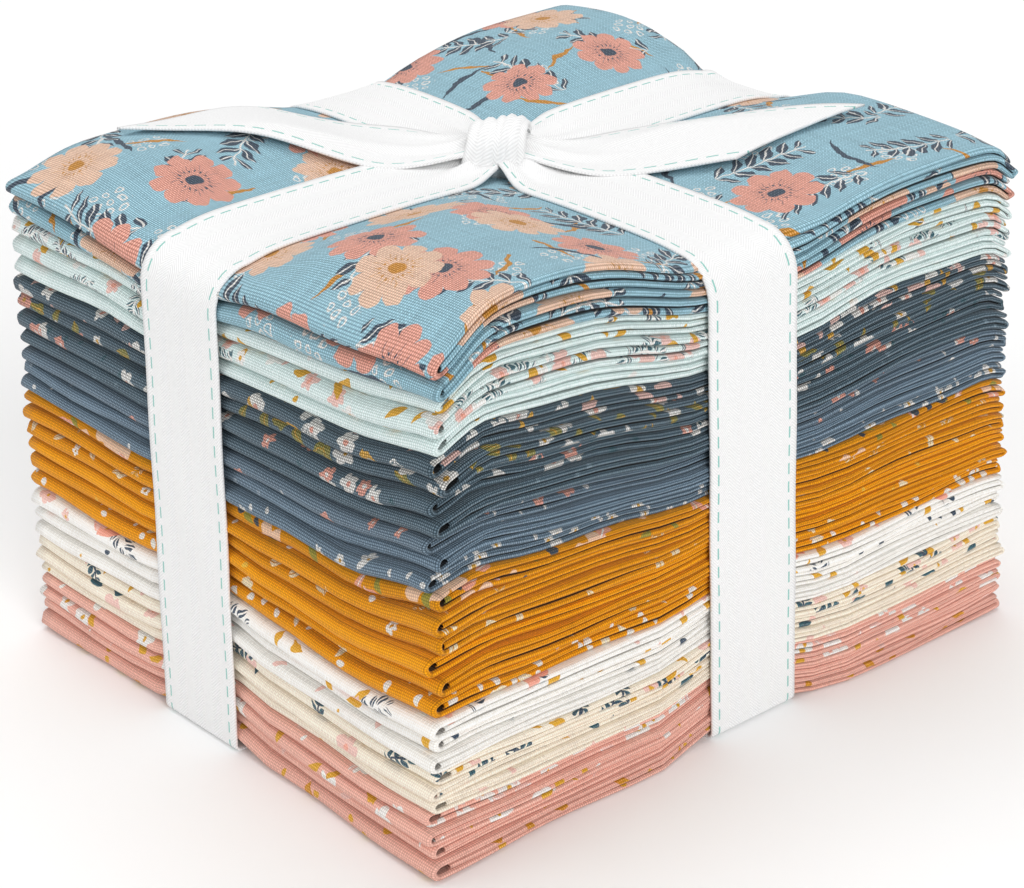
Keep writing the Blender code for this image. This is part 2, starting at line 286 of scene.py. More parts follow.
def length_fold(spacing, half, reach, tuck, rows, turn_rows):
    """The length fold: arrays of y, level, their change per layer, and painted shade for creases.

    The top leaf runs from back to front, half an ellipse turns it under, the bottom leaf runs
    back, half a smaller ellipse turns it up, and the middle leaf runs forward between them. The
    painted shade is 0 where the cloth stands free and 1 where it meets its neighbour, where shade
    falls in the creases: one less the cosine on the turns.
    """
    front, back = -half + reach * 4 * spacing, half - BACK_TURN_REACH * 2.5 * spacing
    flat = stations(front, back, rows)
    zeros, ones = np.zeros(rows), np.ones(rows)
    parts = [(flat[::-1], 3 * spacing * ones, zeros, ones, zeros)]
    cos, sin = half_turn(0.5, turn_rows + 2)
    parts.append((
        front + reach * 3 * spacing * cos, 3 * spacing * sin, reach * cos, sin, 1 + cos))
    parts.append((flat, -3 * spacing * ones, zeros, -ones, zeros))
    cos, sin = half_turn(-0.5, turn_rows)
    parts.append((
        back + BACK_TURN_REACH * 1.5 * spacing * cos, 1.5 * spacing * (sin - 1),
        BACK_TURN_REACH * cos, sin, 1 - cos))
    loose_end = front - reach * spacing + tuck
    tucked = np.append(flat[::-1][flat[::-1] > loose_end + LOOSE_GAP], loose_end)
    parts.append((tucked, 0 * tucked, 0 * tucked, 0 * tucked + 1, 0 * tucked))
    return [np.concatenate(column) for column in zip(*parts)]


def width_fold(spacing, half, reach, columns, turn_columns):
    """The width fold, as arrays of x, height over the leaf's middle, and painted shade for
    creases.

    The outer run goes from the left raw edge to the right, half an ellipse turns it in, the
    next run goes back, a smaller half ellipse turns it, and the last run lies between them.
    """
    right = half - reach * spacing - CLOTH_THICKNESS / 2
    left = -half + reach * spacing / 2 + CLOTH_THICKNESS / 2
    flat = stations(left, right, columns)
    ones = np.ones(columns)
    parts = [(flat, spacing * ones, 0 * ones)]
    cos, sin = half_turn(0, turn_columns + 2)
    parts.append((right + reach * spacing * sin, spacing * cos, 1 - sin))
    parts.append((flat[::-1], -spacing * ones, ones))
    cos, sin = half_turn(0, turn_columns)
    inner = spacing / 2
    parts.append((left - reach * inner * sin, -inner - inner * cos, 1 - sin))
    tucked = flat[:-max(2, columns // SHORT_SHARE)]
    parts.append((tucked, 0 * tucked, 0 * tucked + 1))
    return [np.concatenate(column) for column in zip(*parts)]


def wave(position, lengths, phases):
    """A sum of sines of the given wavelengths and phases, each of height one."""
    return sum(np.sin(TURN * position / length + phase) for length, phase in zip(lengths, phases))


def shifted_level(x, y, level, corner):
    """The level of a fold in the tied stack.

    It rises at the front corner by the cube of its share of the height, times one less it. It
    sags along the right side by a sine, and just under the top at the left of the front. Two
    slow sums of sines, which fade at the ground and the top, make it drift.
    """
    height = bpy.context.scene.bundle_cloth.corner_height
    share = level / height
    along_right = smooth((x / HALF_WIDTH - 0.2) / 0.8) * (1 - corner)
    level = level + FRONT_CORNER_RISE * RISE_SCALE * share ** 3 * (1 - share) * corner
    level = level - RIGHT_SAG * np.sin(math.pi * share) * along_right
    left_of_band = bell(x - LONG_BAND_X + TOP_SAG_LEFT, TOP_SAG_REACH, 2)
    sag = bell(share - TOP_SAG_SHARE, 0.04, 2) * left_of_band
    level = level - TOP_SAG * sag * smooth(-y / HALF_DEPTH)
    between = np.sin(math.pi * level / height)
    slow = 0.7 * MM * np.sin(TURN * (x / 0.21 + y / 0.24 + level / 0.060) + 0.6)
    quick = 0.22 * MM * np.sin(TURN * (x / 0.047 - y / 0.058 + level / 0.023) + 2.1)
    return level + between * slow + between * quick


def fold_insets(x, y, level, quarter, phases):
    """How far the folds and edges lie inside the square stack: front, back, right and left.

    Each is the quarter's own inset, a slight slant and a slow wave along the edge, a wave up the
    stack, a round at its top and foot, and a press under the bands.
    """
    depth = bpy.context.scene.bundle_cloth.corner_height - level
    near_long = bell(x - LONG_BAND_X, BAND_GRIP_WIDTH, 4)
    near_cross = bell(y - CROSS_BAND_Y, BAND_GRIP_WIDTH, 4)
    front_wave = 0.22 * MM * wave(x, (0.083, 0.041), phases[:2]) + FOLD_SLANT * x * phases[6]
    back_wave = 0.25 * MM * wave(x, (0.071, 0.045), phases[2:4])
    side_wave = 0.20 * MM * wave(y, (0.079, 0.043), phases[4:6]) + FOLD_SLANT * y * phases[7]
    uneven = 0.20 * MM * np.sin(TURN * (level / (3.1 * MM) + x / 0.11 + y / 0.09))
    uneven += 0.16 * MM * np.sin(TURN * (level / (5.3 * MM) - x / 0.07 - y / 0.06) + 1.1)

    def rounds(top, under_band, foot, grip, near):
        """The round at the top, sharper away from the band, the one at the foot, and the press."""
        at_top = rounded_inset(depth, (top + under_band * near) * MM)
        return at_top + rounded_inset(level, foot * MM) + grip * MM * near

    loose_front = 0.35 + 0.65 * smooth((x / HALF_WIDTH + 1) / 2)
    loose_side = 0.30 + 0.70 * smooth((1 - y / HALF_DEPTH) / 2)
    front = quarter.front * MM * loose_front - OUTWARD + front_wave + 0.4 * uneven
    side = quarter.side * MM * loose_side - OUTWARD + side_wave + uneven
    return (
        front + rounds(2.6, 5.0, 1.0, 0.7, near_long),
        0.6 * MM + back_wave + uneven + rounds(3.0, 5.0, 1.6, 0.6, near_long),
        side + rounds(1.8, 6.0, 1.0, 0.7, near_cross),
        0.5 * MM + side_wave + uneven + rounds(3.0, 5.0, 1.4, 0.6, near_cross))


def settle(x, y, level, quarter, phases):
    """Move points of the square stack to where the tied stack has them.

    Levels shift, and edges move in by their insets, which count less the further a point lies
    inside, to the fourth power. The foot of the right side and of the front corner spreads out,
    but not under the band, and the front corner is drawn out. The height is the level's share of
    the corner height over the underside, plus a power of that share of the puff.
    """
    height = bpy.context.scene.bundle_cloth.corner_height
    corner = bell(np.hypot(HALF_WIDTH - x, HALF_DEPTH + y), FRONT_CORNER_REACH, 2)
    level = shifted_level(x, y, level, corner)
    share = level / height
    front_in, back_in, side_in, left_in = fold_insets(x, y, level, quarter, phases)
    spread = SPREAD * np.clip(1 - share, 0, 1) ** SPREAD_POWER
    to_far = smooth((y / HALF_DEPTH + 1) / 2)
    held = bell(y - CROSS_BAND_Y, HELD_WIDTH, 6)
    side_in = side_in - spread * (0.45 + 0.55 * to_far) * (1 - held)
    near_corner = smooth((x / HALF_WIDTH - 0.15) / 0.85)
    front_in = front_in - spread * 0.8 * near_corner
    pull = FRONT_CORNER_PULL * corner * (0.35 + 0.65 * share) * phases[8]
    to_front, to_back, to_right, to_left = (
        np.clip(part, 0, 1) ** 4
        for part in (-y / HALF_DEPTH, y / HALF_DEPTH, x / HALF_WIDTH, -x / HALF_WIDTH))
    moved_x = x - to_right * side_in + to_left * left_in + pull
    moved_y = y + to_front * front_in - to_back * back_in + FRONT_CORNER_SET_BACK * corner * share
    base = stack_base(moved_x, moved_y)
    top = cloth_top(moved_x, moved_y)
    z = base + (height - base) * share + (top - height) * np.maximum(share, 0) ** PUFF_POWER
    return moved_x, moved_y, z


def quad_faces(rows, columns, close_rows=False):
    """Vertex numbers of each quad of a grid, whose rows may close into a ring."""
    row, column = np.meshgrid(
        np.arange(rows if close_rows else rows - 1), np.arange(columns - 1), indexing="ij")
    near = (row * columns + column).ravel()
    far = ((row + 1) % rows * columns + column).ravel()
    return np.stack([near, far, far + 1, near + 1], axis=1)


def surface_object(name, points, cloth_uv, close_rows=False, painted_crease_shade=None):
    """A mesh object from a grid of points, with the cloth's flat position in metres as its UV.

    A ring's flat positions have one more row than its points. A second UV map, fold, holds the
    painted shade for the creases, where one is given.
    """
    rows, columns = points.shape[:2]
    faces = quad_faces(rows, columns, close_rows)
    mesh = bpy.data.meshes.new(name)
    mesh.vertices.add(rows * columns)
    mesh.vertices.foreach_set("co", points.reshape(-1).astype(np.float32))
    mesh.loops.add(faces.size)
    mesh.loops.foreach_set("vertex_index", faces.reshape(-1).astype(np.int32))
    mesh.polygons.add(len(faces))
    mesh.polygons.foreach_set("loop_start", np.arange(0, faces.size, 4, dtype=np.int32))
    mesh.polygons.foreach_set("loop_total", np.full(len(faces), 4, dtype=np.int32))
    mesh.update(calc_edges=True)
    mesh.polygons.foreach_set("use_smooth", np.ones(len(faces), dtype=bool))
    layer = mesh.uv_layers.new(name="cloth")
    uv_faces = quad_faces(rows + 1 if close_rows else rows, columns)
    loop_uv = cloth_uv.reshape(-1, 2)[uv_faces.reshape(-1)]
    layer.data.foreach_set("uv", loop_uv.reshape(-1).astype(np.float32))
    # The fold UV map carries the painted shade for the creases to the cloth's finish.
    if painted_crease_shade is not None:
        loop_painted_shade = np.stack([painted_crease_shade, 0 * painted_crease_shade], axis=-1).reshape(-1, 2)[faces.reshape(-1)]
        fold = mesh.uv_layers.new(name="fold")
        fold.data.foreach_set("uv", loop_painted_shade.reshape(-1).astype(np.float32))
    mesh.validate()
    made = bpy.data.objects.new(name, mesh)
    bpy.context.scene.collection.objects.link(made)
    return made


def give_thickness(piece, thickness):
    """Finish an open cloth surface as a thin closed sheet, half its thickness to each side."""
    solidify = piece.modifiers.new("Cloth thickness", "SOLIDIFY")
    solidify.thickness = thickness
    solidify.offset = 0.0
    solidify.use_even_offset = False


def run_lengths(*coordinates):
    """Length along a polyline up to each of its points."""
    steps = np.sqrt(sum(np.diff(values) ** 2 for values in coordinates))
    return np.concatenate([[0.0], np.cumsum(steps)])


def quarter_surface(number, level, spacing, fine):
    """One quarter's whole cloth: its length fold, carried at each height of its width fold.

    The top quarter gets no painted shade for creases on its top leaf.
    """
    quarter = QUARTERS[number - 1]
    rng = np.random.default_rng(400 + number)
    phases = np.concatenate([
        rng.uniform(0, TURN, 6), rng.uniform(-1, 1, 2), rng.uniform(0.2, 1.8, 1)])
    rows, columns, turns = (46, 36, 11) if fine else (26, 20, 8)
    front_reach = 1.35 + 0.25 * rng.uniform(-1, 1)
    side_reach = 1.5 + 0.3 * rng.uniform(-1, 1)
    tuck = DEEPEST_TUCK * rng.uniform(0, 1) ** 2
    path_y, path_level, out_y, out_level, long_painted_shade = length_fold(
        spacing, HALF_DEPTH, front_reach, tuck, rows, turns)
    path_x, height, cross_painted_shade = width_fold(
        spacing, HALF_WIDTH, side_reach, columns, turns - 2)
    y = path_y[:, None] + out_y[:, None] * height[None, :]
    levels = level + path_level[:, None] + out_level[:, None] * height[None, :]
    x = np.broadcast_to(path_x[None, :], y.shape)
    points = np.stack(settle(x, y, levels, quarter, phases), axis=-1)
    painted_crease_shade = np.maximum(long_painted_shade[:, None], cross_painted_shade[None, :])
    if number == len(QUARTERS):
        painted_crease_shade = painted_crease_shade * smooth((3.2 * spacing + level - levels) / (2 * spacing))
    outer_run = run_lengths(path_y + out_y * spacing, path_level + out_level * spacing)
    flat_u, flat_v = np.meshgrid(run_lengths(path_x, height), outer_run)
    return points, np.stack([flat_u, flat_v], axis=-1), painted_crease_shade


# ---------------------------------------------------------------------------
# The tape
# ---------------------------------------------------------------------------

TAPE_COLUMNS = 25
TAPE_CLEARANCE = 0.55 * MM
# The tape gathered at the knot: its width there, how far from the knot it is full again, how high
# the arms rise to the knot and over what length, and how much higher the cross arms rise.
PINCHED_WIDTH = 11 * MM
PINCH_REACH = 27 * MM
ARM_RISE = 3.4 * MM
ARM_RISE_REACH = 22 * MM
CROSS_ARM_RISE = 0.9 * MM
PLEAT_ARCH = 1.3 * MM
PLEAT_HEIGHT = 1.2 * MM
# The bands' rounds over the edges of the stack and at its foot, how far they lean sideways at the
# foot and at the top, and how high the cross band goes over the long one underneath.
BAND_ROUND = 9.5 * MM
FOOT_ROUND = 1.6 * MM
LONG_LEAN = (0.0, 0.8 * MM)
CROSS_LEAN = (2.4 * MM, -1.6 * MM)
LEAN_HEIGHT = 120 * MM
UNDER_STEP = 0.75 * MM
SIDE_RIPPLE = 0.15 * MM
# The knot's place from the bands' crossing, the directions in degrees in which it lies and its
# winding starts, its turns, its radius and how flat it is pressed.
KNOT_PLACE = (1.2 * MM, -2.8 * MM, 5.1 * MM)
KNOT_HEADING = 48.0
KNOT_START = 250.0
KNOT_TURNS = 1.62
KNOT_RADIUS = 5.4 * MM
KNOT_RUN_RADIUS = 6.4 * MM
KNOT_FLATNESS = 1.15
TAIL_ROOT = 3.5 * MM
TAIL_BEND_REACH = 60 * MM
TAIL_FALL_REACH = 30 * MM
TAIL_FULLNESS = 2.6


def tape_width(distance):
    """Width of the tape: full far from the knot and gathered at it, with a smooth step between."""
    full = bpy.context.scene.bundle_tape.width
    return PINCHED_WIDTH + (full - PINCHED_WIDTH) * smooth(distance / PINCH_REACH)


def pleats(distance, across, phase, fullness=1.0):
    """Height of the pleats: an arch and two sines across the tape that fade from the knot out.

    Right at the knot the arch is higher by the fullness.
    """
    near = 1 - smooth(distance / (PINCH_REACH * 1.25))
    arch = PLEAT_ARCH * (1 - across ** 2)
    arch = arch * (1 + (fullness - 1) * (1 - smooth(distance / (12 * MM))))
    wide = 0.75 * np.sin(2.6 * math.pi * across + phase)
    narrow = 0.35 * np.sin(4.6 * math.pi * across - phase)
    return near * (arch + PLEAT_HEIGHT * (wide + narrow) * (1 - across ** 8))


def band_path(half, steps):
    """A band's loop as arrays of position along it, whether on the top, drop, and side share.

    It runs over the top from one round to the other, down a side, under, and up again.
    """
    inner = half - BAND_ROUND
    top = np.linspace(-inner, inner, steps)
    angle = np.linspace(0, math.pi / 2, 9)[1:]
    arc_out, arc_drop = BAND_ROUND * np.sin(angle), BAND_ROUND * (1 - np.cos(angle))
    side = np.linspace(1, 0, 22)[1:]
    foot = np.linspace(0, math.pi / 2, 6)[1:]
    foot_in, foot_drop = FOOT_ROUND * (1 - np.cos(foot)), FOOT_ROUND * np.sin(foot)
    under = np.linspace(half - FOOT_ROUND, -half + FOOT_ROUND, 60)[1:-1]
    place = np.concatenate([
        top, inner + arc_out, np.full(len(side), half), half - foot_in, under,
        (foot_in - half)[::-1], np.full(len(side), -half), -(inner + arc_out)[::-1]])
    drop = np.concatenate([
        np.zeros(steps), arc_drop, np.zeros(len(side)), foot_drop, np.full(len(under), FOOT_ROUND),
        foot_drop[::-1], np.zeros(len(side)), arc_drop[::-1]])
    share = np.concatenate([
        np.full(steps + len(arc_out), 2.0), side, np.zeros(len(foot) * 2 + len(under)), side[::-1],
        np.full(len(arc_out), 2.0)])
    return place, drop, share


def band_surface(along_y):
    """A band's surface: the loop of band_path, with the tape's width laid across it.

    On the top its height is the cloth's, plus the rise to the knot and the pleats near it. Down
    the sides it goes straight from the round to the foot, with a ripple that is a sine of the
    height, and it leans by a share of its height.
    """
    full = bpy.context.scene.bundle_tape.width
    half = (HALF_DEPTH if along_y else HALF_WIDTH) + 0.15 * MM
    offset = LONG_BAND_X if along_y else CROSS_BAND_Y
    centre = CROSS_BAND_Y if along_y else LONG_BAND_X
    place, drop, share = band_path(half, 96)
    across = np.linspace(-1, 1, TAPE_COLUMNS)[None, :]
    on_top = share > 1.5
    distance = np.where(on_top, np.abs(place - centre), 1.0)[:, None]
    shift = across * tape_width(distance) / 2
    inner = half - BAND_ROUND
    seat = np.clip(place, -inner, inner)[:, None] + 0 * shift
    x, y = (offset + shift, seat) if along_y else (seat, offset + shift)
    cloth = stack_top(x, y) - band_edge_press(x, y) + TAPE_CLEARANCE
    rise = ARM_RISE * (1 - smooth(distance / ARM_RISE_REACH))
    if not along_y:
        rise = rise + CROSS_ARM_RISE * (1 - smooth((distance - 8 * MM) / (16 * MM)))
    pleat = pleats(distance, across, 0.4 if along_y else 2.0)
    top_z = cloth + rise + pleat - drop[:, None]
    foot_z = TAPE_THICKNESS / 2 + FOOT_ROUND
    side_share = np.clip(share, 0, 1)[:, None]
    side_z = foot_z + (cloth - BAND_ROUND - foot_z) * side_share - drop[:, None]
    z = np.where(on_top[:, None], top_z, side_z)
    under = (share == 0)[:, None]
    if not along_y:
        step = 1 - smooth((np.abs(place[:, None] - centre) - full / 2 - 1 * MM) / (6 * MM))
        z = z + np.where(under, UNDER_STEP * step, 0)
    at_foot, at_top = LONG_LEAN if along_y else CROSS_LEAN
    shift = shift + at_foot + (at_top - at_foot) * np.clip(z / LEAN_HEIGHT, 0, 1)
    along = place[:, None] + 0 * shift
    ripple = SIDE_RIPPLE * np.sin(TURN * z / 0.043 + 3 * across) * np.sin(math.pi * side_share)
    along = along + np.sign(along) * ripple
    x, y = (offset + shift, along) if along_y else (along, offset + shift)
    points = np.stack(np.broadcast_arrays(x, y, z), axis=-1)
    middle = points[:, TAPE_COLUMNS // 2]
    ring = np.concatenate([middle, middle[:1]])
    width_uv = np.linspace(-full / 2, full / 2, TAPE_COLUMNS)
    flat_u, flat_v = np.meshgrid(width_uv, run_lengths(*ring.T))
    return points, np.stack([flat_u, flat_v], axis=-1)


def knot_centre():
    """The middle of the knot: over the crossing of the bands and a little in front of it."""
    top = float(stack_top(np.array(LONG_BAND_X), np.array(CROSS_BAND_Y)))
    return Vector((LONG_BAND_X, CROSS_BAND_Y, top)) + Vector(KNOT_PLACE)


Tail = namedtuple("Tail", "name node heading length slant bend phase lift")

# heading is the tail's direction from +X in degrees and bend how much that turns along it. In
# millimetres, length runs from the knot to the middle of the cut end, slant is how much further
# its left edge reaches, and lift is how high it lies over the cloth.
TAILS = (
    Tail("tail_left", "ribbon_tail_left", 218.5, 74.0, 15.0, 4.0, 0.6, 1.4),
    Tail("tail_right", "ribbon_tail_right", 46.0, 71.5, 15.5, -5.0, 2.4, 1.6),
)


def tail_surface(tail):
    """A loose end: it leaves the knot gathered, widens, and lies on the cloth to its slant cut.

    Its middle turns slowly by the bend. Each edge reaches its own distance, so the cut is slant.
    """
    rows = 60
    start = knot_centre()
    share = np.linspace(0, 1, rows)[:, None]
    across = np.linspace(-1, 1, TAPE_COLUMNS)[None, :]
    end = (tail.length + across * tail.slant) * MM
    reach = TAIL_ROOT + (end - TAIL_ROOT) * share
    width = tape_width(reach * 0.95)
    heading = np.radians(tail.heading + tail.bend * (1 - smooth(reach / TAIL_BEND_REACH)))
    forward_x, forward_y = np.cos(heading), np.sin(heading)
    x = start.x + forward_x * reach - forward_y * across * width / 2
    y = start.y + forward_y * reach + forward_x * across * width / 2
    cloth = cloth_top(x, y)
    near = 1 - smooth(reach / TAIL_FALL_REACH)
    lift = tail.lift * MM + (start.z + 0.8 * MM - cloth - tail.lift * MM) * near
    float_up = 0.5 * MM * np.sin(TURN * reach / 0.05 + across * 1.3 + tail.phase) * (1 - near)
    z = cloth + lift + float_up + pleats(reach, across, tail.phase, TAIL_FULLNESS)
    points = np.stack([x, y, z], axis=-1)
    width_uv = np.broadcast_to(across * bpy.context.scene.bundle_tape.width / 2, reach.shape)
    return points, np.stack([width_uv, reach], axis=-1)


def knot_surface():
    """The knot: a strip of tape wound one and five eighths turns round the gathered arms.

    The tape is folded in three along its length, as a sine of three quarter turns across it
    carries its width out and back. Going round by an angle, the strip's middle moves along the
    knot, its width goes from broad to narrow, and its radius grows by the layers under it.
    """
    rows, columns = 132, 61
    turn = np.linspace(0, 1, rows)[:, None]
    across = np.linspace(-1, 1, columns)[None, :]
    angle = math.radians(KNOT_START) - TURN * KNOT_TURNS * turn
    width = (11.0 - 3.4 * turn) * MM
    middle = (-3.6 + 7.4 * turn) * MM
    folded = np.sin(1.5 * math.pi * across)
    under = smooth((np.abs(across) - 0.27) / 0.14)
    sunk = under * np.where(across < 0, 1.5, 0.8) * MM
    along = middle + folded * width / 2 * (1 + 0.05 * np.sin(2 * angle))
    pleat = 0.36 * MM * np.sin(3.4 * math.pi * folded + 2.2 * angle) * (1 - folded ** 6)
    bulge = 1.25 * MM * (1 - folded ** 2) + pleat
    radius = KNOT_RADIUS + (bulge - sunk) + 1.2 * MM * turn
    side = radius * KNOT_FLATNESS * np.cos(angle)
    heading = math.radians(KNOT_HEADING)
    centre = knot_centre()
    x = centre.x + math.cos(heading) * along - math.sin(heading) * side
    y = centre.y + math.sin(heading) * along + math.cos(heading) * side
    points = np.stack([x, y, centre.z + radius * np.sin(angle)], axis=-1)
    run = turn * TURN * KNOT_TURNS * KNOT_RUN_RADIUS
    width_uv = across * bpy.context.scene.bundle_tape.width / 2
    return points, np.stack(np.broadcast_arrays(width_uv, run), axis=-1)


# ---------------------------------------------------------------------------
# Finishes
# ---------------------------------------------------------------------------

def linear(colour):
    """A display colour as linear red, green and blue with full alpha."""
    return (*[((c + 0.055) / 1.055) ** 2.4 if c > 0.04 else c / 12.92 for c in colour], 1.0)


def arithmetic(operation, swapped=False):
    """A method of Term that joins it with another value by a Math node."""
    def method(self, other):
        return self.graph.math(operation, *((other, self) if swapped else (self, other)))
    return method


class Term:
    """A value in a shader graph that may be added to and multiplied like a number."""
    __add__, __radd__ = arithmetic("ADD"), arithmetic("ADD", True)
    __sub__, __rsub__ = arithmetic("SUBTRACT"), arithmetic("SUBTRACT", True)
    __mul__, __rmul__ = arithmetic("MULTIPLY"), arithmetic("MULTIPLY", True)
    __truediv__ = arithmetic("DIVIDE")

    def __init__(self, graph, socket):
        self.graph = graph
        self.socket = socket

    def __abs__(self):
        return self.graph.math("ABSOLUTE", self)


class Graph:
    """Adds shader nodes to a node tree and joins them."""

    def __init__(self, tree):
        self.tree = tree

    def node(self, kind, inputs=None, **settings):
        """A new node, with its own properties set and values or terms given to its inputs."""
        made = self.tree.nodes.new(kind)
        for name, value in settings.items():
            setattr(made, name, value)
        for key, value in (inputs or {}).items():
            self.feed(made.inputs[key], value)
        return made

    def feed(self, socket, value):
        """Join a term to an input, or set the input's own value."""
        if isinstance(value, Term):
            self.tree.links.new(value.socket, socket)
        else:
            socket.default_value = value

    def math(self, operation, *values):
        """One Math node."""
        node = self.node("ShaderNodeMath", dict(enumerate(values)), operation=operation)
        return Term(self, node.outputs[0])

    def call(self, name, *values):
        """A Math node named in lower case, such as sine or fract."""
        return self.math(name.upper(), *values)

    def length(self, x, y):
        """The square root of the sum of two squares."""
        return self.call("sqrt", x * x + y * y)

    def vector(self, x, y, z=0.0):
        """A vector from three values."""
        return Term(self, self.node("ShaderNodeCombineXYZ", {0: x, 1: y, 2: z}).outputs[0])

    def parts(self, vector):
        """The x and y of a vector."""
        node = self.node("ShaderNodeSeparateXYZ", {0: vector})
        return Term(self, node.outputs[0]), Term(self, node.outputs[1])

    def noise(self, vector, scale, detail=2.0, output=0):
        """A noise texture's value, or with output 1 its colour, from 0 to 1."""
        node = self.node(
            "ShaderNodeTexNoise", {"Vector": vector, "Scale": scale, "Detail": detail},
            noise_dimensions="2D")
        return Term(self, node.outputs[output])

    def below(self, value, edge, soft):
        """One where value is under edge, zero where it is over, with a soft step between."""
        node = self.node("ShaderNodeMapRange", {
            "Value": value, "From Min": edge - soft, "From Max": edge + soft,
            "To Min": 1.0, "To Max": 0.0}, interpolation_type="SMOOTHSTEP")
        return Term(self, node.outputs["Result"])

    def chosen(self, chance, share):
        """One at the share of places whose random value is under it."""
        return self.below(chance, share, 0.001)

    def mix(self, amount, first, second):
        """A blend of two colours."""
        first, second = (
            value if isinstance(value, Term) else linear(value) for value in (first, second))
        node = self.node("ShaderNodeMix", {0: amount, 6: first, 7: second}, data_type="RGBA")
        return Term(self, node.outputs[2])

    def shaded(self, colour, shade):
        """A colour times a shade."""
        node = self.node(
            "ShaderNodeMix", {0: 1.0, 6: colour, 7: self.vector(shade, shade, shade)},
            data_type="RGBA", blend_type="MULTIPLY", clamp_result=True)
        return Term(self, node.outputs[2])

    def uv(self, name):
        """The two values of a UV map."""
        return self.parts(Term(self, self.node("ShaderNodeUVMap", uv_map=name).outputs[0]))


def cells(graph, u, v, spacing, seed, scatter=0.8):
    """Scattered places: for each point, its offset from its place, and two random values."""
    moved_u, moved_v = u + seed * 0.37, v + seed * 0.73
    node = graph.node("ShaderNodeTexVoronoi", {
        "Vector": graph.vector(moved_u, moved_v), "Scale": 1.0 / spacing, "Randomness": scatter,
    }, voronoi_dimensions="2D", feature="F1")
    centre_u, centre_v = graph.parts(Term(graph, node.outputs["Position"]))
    chance_a, chance_b = graph.parts(Term(graph, node.outputs["Color"]))
    return moved_u - centre_u, moved_v - centre_v, chance_a, chance_b


def turned(graph, x, y, angle):
    """The point x, y turned by an angle in radians."""
    cos, sin = graph.call("cosine", angle), graph.call("sine", angle)
    return x * cos + y * sin, y * cos - x * sin


def blossoms(graph, u, v, spacing, size, seed, share):
    """Five-petalled flowers: masks of the petals and of the middles."""
    x, y, chance_a, chance_b = cells(graph, u, v, spacing, seed)
    radius = graph.length(x, y)
    angle = graph.call("arctan2", y, x)
    lobe = abs(graph.call("sine", angle * 2.5 + chance_a * 6.0))
    grown = (0.62 + 0.38 * lobe) * size * (0.7 + 0.5 * chance_b) * 0.5
    here = graph.chosen(chance_a, share)
    petals = graph.below(radius - grown, 0.0, 0.15 * MM) * here
    middle = graph.below(radius, size * 0.11, 0.15 * MM) * here
    return petals, middle


def daisies(graph, u, v, spacing, size, seed, share):
    """Large flowers of nine petals: masks of the petals, and of the streaks, ring and middle."""
    x, y, chance_a, chance_b = cells(graph, u, v, spacing, seed, 0.5)
    radius = graph.length(x, y)
    angle = graph.call("arctan2", y, x) + chance_a * 6.0
    lobe = abs(graph.call("cosine", angle * 4.5))
    grown = (0.66 + 0.34 * graph.call("sqrt", lobe)) * size * (0.8 + 0.25 * chance_b) * 0.5
    here = graph.chosen(chance_b, share)
    petals = graph.below(radius - grown, 0.0, 0.15 * MM) * here
    streak = abs(graph.call("sine", angle * 13.5))
    near = graph.below(radius, size * (0.16 + 0.10 * lobe), 0.4 * MM)
    streaks = graph.below(streak, 0.3, 0.12) * near
    stamens = graph.below(abs(radius - size * 0.15), 0.35 * MM, 0.1 * MM)
    stamens = stamens * graph.below(abs(graph.call("sine", angle * 8.0)), 0.45, 0.1)
    middle = graph.below(radius, size * 0.085, 0.2 * MM)
    heart = graph.call("maximum", graph.call("maximum", middle, stamens), streaks * 0.55)
    return petals, heart * petals


def leaves(graph, u, v, spacing, length, seed, share, slimness=0.42):
    """Pointed leaves: masks of the leaves and of their middle veins."""
    x, y, chance_a, chance_b = cells(graph, u, v, spacing, seed)
    x, y = turned(graph, x, y, chance_a * TURN)
    y = y + x * x * ((chance_b - 0.5) * 1.2 / length)
    along = x / (length / 2)
    width = length * slimness
    body = (1.0 - along * along) * (width / 2)
    here = graph.chosen(chance_b, share)
    leaf = graph.below(abs(y) - body, 0.0, 0.1 * MM) * here
    vein = graph.below(abs(y), width * 0.05, 0.06 * MM) * leaf
    return leaf, vein


def strokes(graph, u, v, spacing, length, seed, share):
    """Long curved strokes of a brush: the mask of slim leaves without their veins."""
    return leaves(graph, u, v, spacing, length, seed, share, 0.09)[:1]


def sprigs(graph, u, v, spacing, length, seed, share):
    """Curved stems with paired leaflets: masks of the leaflets and of the stems and veins.

    Along the stem the leaflets repeat at a sixth of its length. Each is a pointed oval whose
    axis slants forward from the stem, and they grow shorter towards both ends.
    """
    x, y, chance_a, chance_b = cells(graph, u, v, spacing, seed, 0.5)
    x, y = turned(graph, x, y, chance_a * TURN)
    y = y + x * x * ((chance_b - 0.5) * 1.5 / length)
    pitch = length / 6
    side = abs(y)
    place = (graph.call("fract", x / pitch + 50.0) - 0.62) * pitch
    out = side - 0.66 * pitch
    along, over = place * 0.64 + out * 0.77, place * -0.77 + out * 0.64
    share_along = x / (length / 2)
    taper = 1.0 - share_along * share_along * 0.6
    body = (1.0 - along * along / (0.8 * pitch) ** 2) * 0.36 * pitch * taper
    inside = graph.below(abs(x), length * 0.47, 0.1 * MM)
    here = graph.chosen(chance_b, share) * inside
    leaflets = graph.below(abs(over) - body, 0.0, 0.08 * MM) * here
    vein = graph.below(abs(over), 0.16 * MM, 0.08 * MM) * leaflets
    stem = graph.below(side, 0.26 * MM, 0.08 * MM) * here
    return leaflets, graph.call("maximum", vein, stem)


def dots(graph, u, v, spacing, size, seed, share):
    """Round dots of slightly different sizes: their mask."""
    x, y, chance_a, chance_b = cells(graph, u, v, spacing, seed)
    radius = graph.length(x, y)
    dot = graph.below(radius - (0.7 + 0.6 * chance_b) * size * 0.5, 0.0, 0.12 * MM)
    return (dot * graph.chosen(chance_a, share),)


RING_PITCH = 3.1 * MM
RING_RADIUS = 0.85 * MM
RING_HALF = 0.22 * MM


